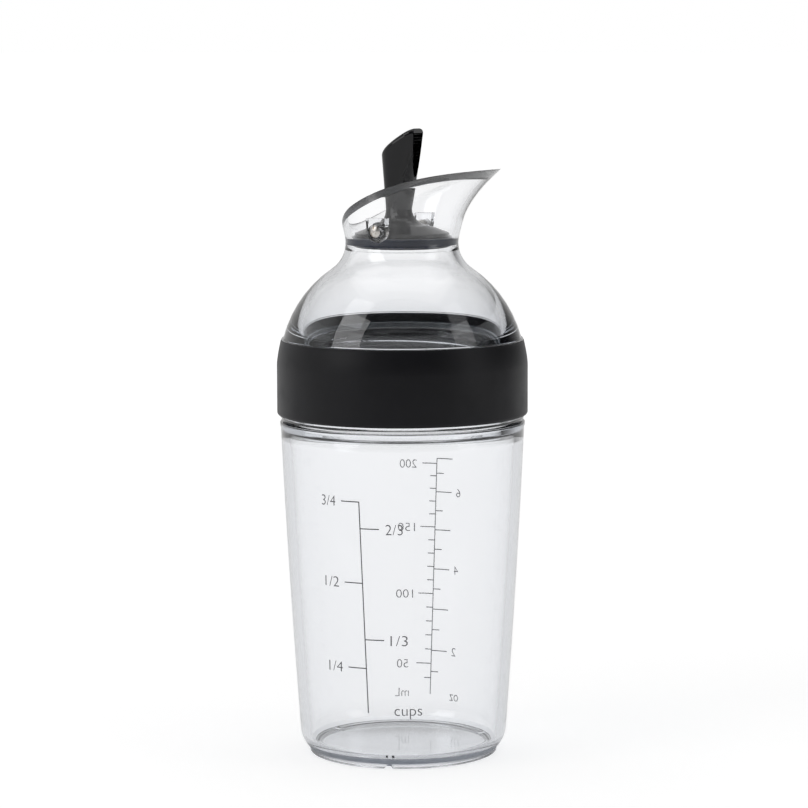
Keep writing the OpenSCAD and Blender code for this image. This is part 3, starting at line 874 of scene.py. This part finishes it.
class BOTTLE_OT_grip_band(bpy.types.Operator):
    """Adds the soft black band round the lid's skirt"""

    bl_idname = "bottle.grip_band"
    bl_label = "Grip band"

    def execute(self, context):
        lid = sizes("lid")
        thick = 1.8 * MM
        edge = 0.95 * MM
        taper = 1.15 * MM
        taper_h = 7 * MM
        low = lid.low_z + lid.lip_h
        high = lid.seat_top_z - lid.ridge_h
        inner = lid.seat_r - 2 * HAIR
        outer = lid.seat_r + thick
        crown = 0.3 * MM
        moves = [(outer - edge, low), (outer - edge, low + edge, 90)]
        for z in levels(high - taper_h, high - crown, 14):
            share = (z - high + taper_h) / taper_h
            moves.append((outer - taper * max(0, share) ** 1.5, z))
        moves += [(outer - taper - crown, high - crown, 90), (inner, high)]
        shape = turn(trace((inner, low), moves))
        material = opaque_finish("soft_band", sizes("finish").band, 0.42, 0.52, 0.5, 2200, 0.25, 0.22)
        finish_piece("grip_band_soft", shape, material, "lid", ["grip_band"])
        return {"FINISHED"}


class BOTTLE_OT_gasket(bpy.types.Operator):
    """Adds the silicone ring between the tumbler's rim and the lid"""

    bl_idname = "bottle.gasket"
    bl_label = "Gasket"

    def execute(self, context):
        t, lid = sizes("tumbler"), sizes("lid")
        low_z = t.shoulder_z + t.neck_h + 0.1 * MM
        inner = t.neck_r - t.neck_wall + 0.3 * MM
        outer = lid.skirt_r - 0.3 * MM
        edge = 0.4 * MM
        moves = [(outer - edge, low_z), (outer - edge, low_z + edge, 90), (outer, lid.ceiling_z - HAIR)]
        moves += [(inner, lid.ceiling_z - HAIR), (inner, low_z + edge), (inner + edge, low_z + edge, 90)]
        shape = turn(trace((inner + edge, low_z), moves[:-1]))
        finish_piece("lid_gasket_ring", shape, gasket_silicone(), "gasket", ["lid_gasket"])
        return {"FINISHED"}


class BOTTLE_OT_hinge_pin(bpy.types.Operator):
    """Adds the steel pin across the funnel"""

    bl_idname = "bottle.hinge_pin"
    bl_label = "Hinge pin"

    def execute(self, context):
        s = sizes("spout")
        ball = (s.pin_r**2 + s.pin_dome**2) / (2 * s.pin_dome)
        reach = math.degrees(math.asin(s.pin_r / ball))
        half = s.pin_half
        moves = [(0, ball - half, reach), (s.pin_r, half - s.pin_dome), (0, half - ball, reach)]
        shape = turn(trace((0, -half), moves, closed=False), 64)
        bmesh.ops.rotate(shape, verts=shape.verts, matrix=Matrix.Rotation(math.pi / 2, 3, "X"))
        bmesh.ops.translate(shape, verts=shape.verts, vec=(0, 0, s.pin_z))
        finish_piece("hinge_pin_steel", shape, pin_steel(), "lid", ["hinge_pin"])
        return {"FINISHED"}


# The stopper


def thumb_top(x):
    """Height of the thumb pad above a distance in front of the pin."""
    p = sizes("stopper")
    run = p.pad_front - p.pad_back
    crest = p.pad_front - 1.7 * MM
    behind = max(0, crest - x) / run
    ahead = max(0, x - crest) / run
    return p.peak_z - p.drop * behind**1.2 - 7 * MM * ahead * ahead


def rounded(angle, back, front, half_w, square):
    """A point of a rounded rectangle seen from above."""
    c, s = math.cos(angle), math.sin(angle)
    x = (back + front) / 2 + (front - back) / 2 * math.copysign(abs(c) ** square, c)
    return x, half_w * math.copysign(abs(s) ** square, s)


def stem_point(angle, share, inset, sink):
    """A point of the lever's skin: share of the way up, drawn in and sunk at the edge."""
    p = sizes("stopper")
    start_z = p.flange_z + p.flange_t + p.cone_h + p.flare_h
    back = p.stem_back + (p.pad_back - p.stem_back) * share + inset
    front = p.stem_front + (p.pad_front - p.stem_front) * share - inset
    half_w = (p.stem_w + (p.pad_w - p.stem_w) * share) / 2 - inset
    x, y = rounded(angle, back, front, half_w, p.squareness)
    return x, y, start_z + (thumb_top(x) - sink - start_z) * share


def flare_point(angle, share):
    """A point of the flare that leads from the cone up into the stem."""
    p = sizes("stopper")
    low_z = p.flange_z + p.flange_t + p.cone_h
    bend = math.radians(90 * share)
    drawn = math.sin(bend)
    x, y = rounded(angle, p.stem_back, p.stem_front, p.stem_w / 2, p.squareness)
    ring_x, ring_y = p.cone_r * math.cos(angle), p.cone_r * math.sin(angle)
    place = (ring_x + (x - ring_x) * drawn, ring_y + (y - ring_y) * drawn)
    return place[0], place[1], low_z + p.flare_h * (1 - math.cos(bend))


def lever_rings():
    """Every ring of the lever's skin from the hub up to the thumb pad, as functions of the direction."""
    p = sizes("stopper")

    def flat(radius, z):
        return lambda a: (
            radius * math.cos(a),
            max(-p.side, min(p.side, radius * math.sin(a))),
            z,
        )

    top_z = p.flange_z + p.flange_t
    snap_z = p.seal_z + p.snap_t
    soft = 0.25 * MM
    rings = [flat(p.hub_r, p.seal_z), flat(p.snap_r, snap_z - soft), flat(p.snap_r, snap_z)]
    rings += [flat(p.hub_r, snap_z), flat(p.hub_r, p.flange_z), flat(p.flange_r - soft, p.flange_z)]
    rings += [flat(p.flange_r, p.flange_z + soft), flat(p.flange_r, top_z - soft)]
    rings += [flat(p.flange_r - soft, top_z), flat(p.cone_r, top_z + p.cone_h)]
    rings += [lambda a, u=i / 8: flare_point(a, u) for i in range(1, 8)]
    rings += [lambda a, u=i / 24: stem_point(a, u, 0, p.edge) for i in range(25)]
    for i in range(1, 7):
        bend = math.radians(15 * i)
        inset, sink = p.edge * (1 - math.cos(bend)), p.edge * (1 - math.sin(bend))
        rings.append(lambda a, n=inset, k=sink: stem_point(a, 1, n, k))
    rings += [lambda a, n=p.edge + 0.68 * MM * i: stem_point(a, 1, n, 0) for i in range(1, 5)]
    return rings


def lever_skin():
    """The lever's skin, grown ring by ring from a disc."""
    bm = bmesh.new()
    direction = bm.verts.layers.float.new("direction")
    bmesh.ops.create_circle(bm, cap_ends=True, segments=96, radius=1)
    for vert in bm.verts:
        vert[direction] = math.atan2(vert.co.y, vert.co.x)
    face = bm.faces[:][0]
    rings = lever_rings()
    for vert in face.verts:
        vert.co = rings[0](vert[direction])
    for ring in rings[1:]:
        grown = bmesh.ops.extrude_face_region(bm, geom=[face])["geom"]
        face = next(g for g in grown if isinstance(g, bmesh.types.BMFace))
        for vert in face.verts:
            vert.co = ring(vert[direction])
    bmesh.ops.recalc_face_normals(bm, faces=bm.faces[:])
    return bm


def front_flat():
    """The block that cuts the flat up the front of the thumb pad."""
    p = sizes("stopper")
    size = 20 * MM
    bm = bmesh.new()
    bmesh.ops.create_cube(bm, size=size)
    bmesh.ops.translate(bm, verts=bm.verts, vec=(size / 2, 0, size / 2))
    lean = Matrix.Rotation(p.flat_lean, 3, "Y")
    bmesh.ops.rotate(bm, verts=bm.verts, cent=(0, 0, 0), matrix=lean)
    bmesh.ops.translate(bm, verts=bm.verts, vec=(p.flat_reach, 0, p.flat_z))
    return bm


class BOTTLE_OT_lever(bpy.types.Operator):
    """Adds the glossy flip lever with its thumb pad, base and hinge barrel"""

    bl_idname = "bottle.lever"
    bl_label = "Flip lever"

    def execute(self, context):
        p, s = sizes("stopper"), sizes("spout")
        shape = combine(lever_skin(), front_flat(), "DIFFERENCE")
        shape = combine(shape, rod(p.barrel_r, p.side, s.pin_z), "UNION")
        shape = combine(shape, rod(p.bore_r, 2 * p.side, s.pin_z), "DIFFERENCE")
        material = opaque_finish("lever_gloss", sizes("finish").lever, 0.07, 0.18, 0.03, 400, 0.3, 0.35)
        finish_piece(
            "pour_lever_gloss", shape, material, "stopper", ["pour_lever"], LEVER_CREASE
        )
        return {"FINISHED"}


class BOTTLE_OT_seal(bpy.types.Operator):
    """Adds the dark blue silicone ring that closes the bore"""

    bl_idname = "bottle.seal"
    bl_label = "Stopper seal"

    def execute(self, context):
        p, s = sizes("stopper"), sizes("spout")
        touch = s.bore_r + HAIR
        round_r = 0.5 * MM
        top = p.flange_z - HAIR
        inner = p.hub_r + HAIR
        low = p.seal_z
        moves = [(p.snap_r + HAIR, low + p.snap_t + HAIR), (p.snap_r + HAIR, low)]
        moves += [(touch - 1.4 * MM, low), (touch, low + 0.9 * MM), (touch, top - round_r)]
        moves += [(touch - round_r, top - round_r, 90)]
        shape = turn(trace((inner, low + p.snap_t + HAIR), moves + [(inner, top)]))
        shape = combine(shape, rod(s.pad_r + 0.3 * MM, 2 * s.pad_face, s.pin_z), "DIFFERENCE")
        material = opaque_finish("seal_silicone", sizes("finish").seal, 0.3, 0.5, 0.3, 1500, 0.2, 0.4)
        finish_piece("stopper_seal_ring", shape, material, "stopper", ["stopper_seal"])
        return {"FINISHED"}


# The printed scales

CUP_ML = 236.6
OUNCE_ML = 29.57
LOW_ML = 50


def mark_height(ml):
    """Height of a volume's mark on the back scale."""
    share = (ml - LOW_ML) / LOW_ML
    return (18.97 + 20.86 * share - 0.47 * share * share) * MM


def stroke(bm, u0, v0, u1, v1, width, steps=1):
    """One printed stroke between two points of the unrolled wall."""
    grid = bmesh.ops.create_grid(bm, x_segments=steps, y_segments=1, size=0.5)["verts"]
    run = Vector((u1 - u0, v1 - v0, 0))
    bmesh.ops.scale(bm, verts=grid, vec=(run.length, width, 1))
    turned = Matrix.Rotation(math.atan2(run.y, run.x), 3, "Z")
    bmesh.ops.rotate(bm, verts=grid, cent=(0, 0, 0), matrix=turned)
    bmesh.ops.translate(bm, verts=grid, vec=((u0 + u1) / 2, (v0 + v1) / 2, 0))


def lettering(bm, words, u, v, height, width):
    """Printed words centred on a point of the unrolled wall, fitted to a height and a width."""
    curve = bpy.data.curves.new("words", "FONT")
    curve.body = words
    curve.offset = -0.012
    holder = bpy.data.objects.new("words", curve)
    bpy.context.scene.collection.objects.link(holder)
    bpy.context.view_layer.update()
    seen = holder.evaluated_get(bpy.context.evaluated_depsgraph_get())
    made = bmesh.new()
    made.from_mesh(seen.to_mesh())
    seen.to_mesh_clear()
    bmesh.ops.remove_doubles(made, verts=made.verts[:], dist=1e-5)
    low = Vector((min(w.co.x for w in made.verts), min(w.co.y for w in made.verts), 0))
    high = Vector((max(w.co.x for w in made.verts), max(w.co.y for w in made.verts), 0))
    bmesh.ops.translate(made, verts=made.verts, vec=-(low + high) / 2)
    size = high - low
    bmesh.ops.scale(made, verts=made.verts, vec=(width / size.x, height / size.y, 1))
    bmesh.ops.translate(made, verts=made.verts, vec=(u, v, 0))
    mesh = bpy.data.meshes.new("words")
    made.to_mesh(mesh)
    made.free()
    bm.from_mesh(mesh)
    bpy.data.meshes.remove(mesh)
    bpy.data.objects.remove(holder)
    bpy.data.curves.remove(curve)


def print_on_wall(name, bm, facing):
    """Wraps a flat print round the tumbler, gives the ink its thickness and adds the piece."""
    flat = [f for f in bm.faces]
    grown = bmesh.ops.extrude_face_region(bm, geom=flat)["geom"]
    outer = {g for g in grown if isinstance(g, bmesh.types.BMVert)}
    for vert in bm.verts:
        depth = 0.02 * MM if vert in outer else -0.01 * MM
        radius = side_r(vert.co.y)
        angle = facing + vert.co.x / radius
        radius += depth
        vert.co = (radius * math.cos(angle), radius * math.sin(angle), vert.co.y)
    bmesh.ops.recalc_face_normals(bm, faces=bm.faces[:])
    return finish_piece(name, bm, bpy.data.materials.get("printing_ink") or printing_ink(), "tumbler")


class BOTTLE_OT_scales(bpy.types.Operator):
    """Prints the cup scale on the front of the tumbler and the millilitre and ounce scale on the back"""

    bl_idname = "bottle.scales"
    bl_label = "Printed scales"

    def cups(self, facing):
        """The cup scale on the front."""
        bm = bmesh.new()
        thin = 0.3 * MM
        lift = 6 * MM
        top, low = 75.2 * MM, 16.2 * MM
        lean = (-12.2 + 9.75) * MM / (top - low)

        def line_u(v):
            return -9.75 * MM + lean * (v - low)

        stroke(bm, line_u(top), top, line_u(low), low, thin, 24)
        marks = [(1 / 4, -1), (1 / 3, 1), (1 / 2, -1), (2 / 3, 1), (3 / 4, -1)]
        words = {1 / 4: "1/4", 1 / 3: "1/3", 1 / 2: "1/2", 2 / 3: "2/3", 3 / 4: "3/4"}
        for share, side in marks:
            v = mark_height(share * CUP_ML) + lift
            u = line_u(v)
            stroke(bm, u, v, u + side * 5.4 * MM, v, thin, 3)
            gap = (9.6 if side < 0 else 9.5) * MM
            lettering(bm, words[share], u + side * gap, v - 0.1 * MM, 2.85 * MM, 4.7 * MM)
        lettering(bm, "cups", 1.36 * MM, 16.2 * MM, 2.9 * MM, 7.6 * MM)
        print_on_wall("cup_scale_print", bm, facing)

    def metric(self, facing):
        """The millilitre and ounce scale on the back."""
        bm = bmesh.new()
        thin = 0.26 * MM
        top, low = 78.8 * MM, 10 * MM
        lean = (-10.8 + 8.5) * MM / (top - low)

        def line_u(v):
            return -8.5 * MM + lean * (v - low)

        stroke(bm, line_u(top), top, line_u(low), low, thin, 24)
        for ml in range(40, 201, 10):
            v = mark_height(ml)
            long = ml % 50 == 0
            stroke(bm, line_u(v), v, line_u(v) + (4.7 if long else 2.1) * MM, v, thin, 3)
            if long:
                wide = (3.5 if ml < 100 else 5.25) * MM
                lettering(bm, str(ml), line_u(v) + 9 * MM, v - 0.2 * MM, 2.4 * MM, wide)
        for half_ounces in range(3, 15):
            v = min(top, mark_height(half_ounces / 2 * OUNCE_ML))
            long = half_ounces % 2 == 0
            stroke(bm, line_u(v), v, line_u(v) - (5.2 if long else 2.4) * MM, v, thin, 3)
            if half_ounces in (4, 8, 12):
                lettering(bm, str(half_ounces // 2), line_u(v) - 7.6 * MM, v, 2.4 * MM, 1.5 * MM)
        lettering(bm, "mL", 0.45 * MM, 10.4 * MM, 2.4 * MM, 4.3 * MM)
        lettering(bm, "oz", -16.7 * MM, 9.5 * MM, 1.9 * MM, 3.2 * MM)
        print_on_wall("metric_scale_print", bm, facing)

    def execute(self, context):
        facing = sizes("stage").azimuth - math.pi / 2
        self.cups(facing)
        self.metric(facing + math.pi)
        return {"FINISHED"}


# The stage


def sight(tree, path):
    """Whether a ray is sight, and how bright white is to it after reflections inside clear plastic."""
    through = math_node(tree, "MAXIMUM", path.outputs["Is Camera Ray"], path.outputs["Is Transmission Ray"])
    seen = math_node(tree, "MAXIMUM", through, path.outputs["Is Glossy Ray"])
    inner = math_node(tree, "MINIMUM", path.outputs["Glossy Depth"], 1)
    bright = math_node(tree, "SUBTRACT", 1, math_node(tree, "MULTIPLY", inner, sizes("stage").edge_dark))
    return seen, bright


def bright_field(tree, path):
    """White to the eye and behind the bottle, dark to the right, and in reflections dark in front."""
    g = sizes("stage")
    turned = tree.nodes.new("ShaderNodeMapping")
    turned.inputs["Rotation"].default_value = (0, 0, -g.azimuth)
    place = tree.nodes.new("ShaderNodeTexCoord").outputs["Generated"]
    tree.links.new(place, turned.inputs["Vector"])
    parts = tree.nodes.new("ShaderNodeSeparateXYZ")
    tree.links.new(turned.outputs["Vector"], parts.inputs["Vector"])
    mirrored = math_node(
        tree,
        "MAXIMUM",
        path.outputs["Is Glossy Ray"],
        math_node(tree, "MINIMUM", path.outputs["Glossy Depth"], 1),
    )
    front = math_node(tree, "SUBTRACT", 1, math_node(tree, "MULTIPLY", mirrored, 1 - g.front_dark))
    field = path.outputs["Is Camera Ray"]
    sides = 1
    for axis, start, end, dark in (
        ("X", 0.3, 0.8, g.right_dark),
        ("X", -0.3, -0.8, g.left_dark),
        ("Z", 0.3, 0.75, g.over_dark),
        ("Y", 0, -0.4, front),
    ):
        side = spread(tree, parts.outputs[axis], start, end, 1, dark).outputs["Result"]
        sides = math_node(tree, "MULTIPLY", sides, side)
    return math_node(tree, "MAXIMUM", field, sides)


def studio_world():
    """A world that is white to the eye and behind the bottle, and a soft grey light otherwise."""
    world = bpy.data.worlds.new("studio")
    world.use_nodes = True
    tree = world.node_tree
    background = tree.nodes["Background"]
    background.inputs["Color"].default_value = (1, 1, 1, 1)
    path = tree.nodes.new("ShaderNodeLightPath")
    seen, bright = sight(tree, path)
    blend = tree.nodes.new("ShaderNodeMix")
    blend.inputs["A"].default_value = sizes("stage").world_light
    tree.links.new(seen, blend.inputs["Factor"])
    tree.links.new(math_node(tree, "MULTIPLY", bright, bright_field(tree, path)), blend.inputs["B"])
    tree.links.new(blend.outputs["Result"], background.inputs["Strength"])
    bpy.context.scene.world = world


def floor_paper():
    """White paper that keeps the object's shadow and meets the white background without a line."""
    material, tree, shader = new_material("floor_paper")
    shader.inputs["Base Color"].default_value = (0.55, 0.55, 0.55, 1)
    shader.inputs["Roughness"].default_value = 0.9
    shader.inputs["Specular IOR Level"].default_value = 0.1
    shader.inputs["Emission Color"].default_value = (1, 1, 1, 1)
    seen, bright = sight(tree, tree.nodes.new("ShaderNodeLightPath"))
    g = sizes("stage")
    far = tree.nodes.new("ShaderNodeVectorMath")
    far.operation = "LENGTH"
    tree.links.new(tree.nodes.new("ShaderNodeTexCoord").outputs["Object"], far.inputs[0])
    lift = spread(tree, far.outputs["Value"], 0.1, 1.2, g.near_glow, g.far_glow).outputs["Result"]
    glow = math_node(tree, "MULTIPLY", math_node(tree, "MULTIPLY", seen, bright), lift)
    tree.links.new(glow, shader.inputs["Emission Strength"])
    return material


def add_lamp(name, place, size, power, aim):
    """A soft square lamp aimed at a point."""
    lamp = bpy.data.lights.new(name, "AREA")
    lamp.shape = "RECTANGLE"
    lamp.size, lamp.size_y = size
    lamp.energy = power
    holder = bpy.data.objects.new(name, lamp)
    bpy.context.scene.collection.objects.link(holder)
    holder.location = place
    holder.rotation_euler = (Vector(aim) - Vector(place)).to_track_quat("-Z", "Y").to_euler()


class BOTTLE_OT_stage(bpy.types.Operator):
    """Adds the floor, the soft lamps, the white background and the camera"""

    bl_idname = "bottle.stage"
    bl_label = "Stage"

    def execute(self, context):
        g = sizes("stage")
        bm = bmesh.new()
        bmesh.ops.create_grid(bm, x_segments=2, y_segments=2, size=30)
        bmesh.ops.translate(bm, verts=bm.verts, vec=(0, 0, -HAIR))
        floor = loose("floor", bm)
        floor.data.materials.append(floor_paper())
        studio_world()
        right = Vector((math.cos(g.azimuth), math.sin(g.azimuth), 0))
        toward = Vector((math.sin(g.azimuth), -math.cos(g.azimuth), 0))
        aim = (0, 0, 0.1)
        add_lamp("key", -right * 0.62 + toward * 0.38 + Vector((0, 0, 0.5)), (0.4, 0.6), 2, aim)
        add_lamp("fill", right * 0.7 + toward * 0.3 + Vector((0, 0, 0.35)), (0.3, 0.6), 0.8, aim)
        add_lamp("top", -toward * 0.2 + Vector((0, 0, 1.4)), (1.5, 1.2), 4.5, aim)
        camera = bpy.data.objects.new("camera", bpy.data.cameras.new("camera"))
        context.scene.collection.objects.link(camera)
        camera.data.lens = g.lens
        camera.data.clip_start = 0.01
        camera.location = toward * g.distance + Vector((0, 0, g.height))
        look = right * g.aim_side + Vector((0, 0, g.aim_z)) - camera.location
        turned = look.to_track_quat("-Z", "Y").to_matrix() @ Matrix.Rotation(g.roll, 3, "Z")
        camera.rotation_euler = turned.to_euler()
        context.scene.camera = camera
        context.scene.view_settings.view_transform = "Standard"
        return {"FINISHED"}


OPERATORS = [
    BOTTLE_OT_tumbler,
    BOTTLE_OT_scales,
    BOTTLE_OT_lid,
    BOTTLE_OT_grip_band,
    BOTTLE_OT_gasket,
    BOTTLE_OT_hinge_pin,
    BOTTLE_OT_lever,
    BOTTLE_OT_seal,
    BOTTLE_OT_stage,
]


class BOTTLE_PT_panel(bpy.types.Panel):
    """Lists the bottle's pieces in the sidebar"""

    bl_idname = "BOTTLE_PT_panel"
    bl_label = "Shaker bottle"
    bl_space_type = "VIEW_3D"
    bl_region_type = "UI"
    bl_category = "Bottle"

    def draw(self, context):
        for operator in OPERATORS:
            self.layout.operator(operator.bl_idname)
        for name in GROUPS:
            group = getattr(context.scene, name)
            for label in group.bl_rna.properties.keys():
                if label not in ("rna_type", "name"):
                    self.layout.prop(group, label)


def register():
    """Registers the settings, the operators and the panel."""
    for name, group in GROUPS.items():
        bpy.utils.register_class(group)
        setattr(bpy.types.Scene, name, bpy.props.PointerProperty(type=group))
    for made in OPERATORS + [BOTTLE_PT_panel]:
        bpy.utils.register_class(made)


def unregister():
    """Takes them out again."""
    for made in reversed(OPERATORS + [BOTTLE_PT_panel]):
        bpy.utils.unregister_class(made)
    for name, group in GROUPS.items():
        delattr(bpy.types.Scene, name)
        bpy.utils.unregister_class(group)


def main():
    register()
    for operator in OPERATORS:
        group, name = operator.bl_idname.split(".")
        getattr(getattr(bpy.ops, group), name)()


if __name__ == "__main__":
    main()
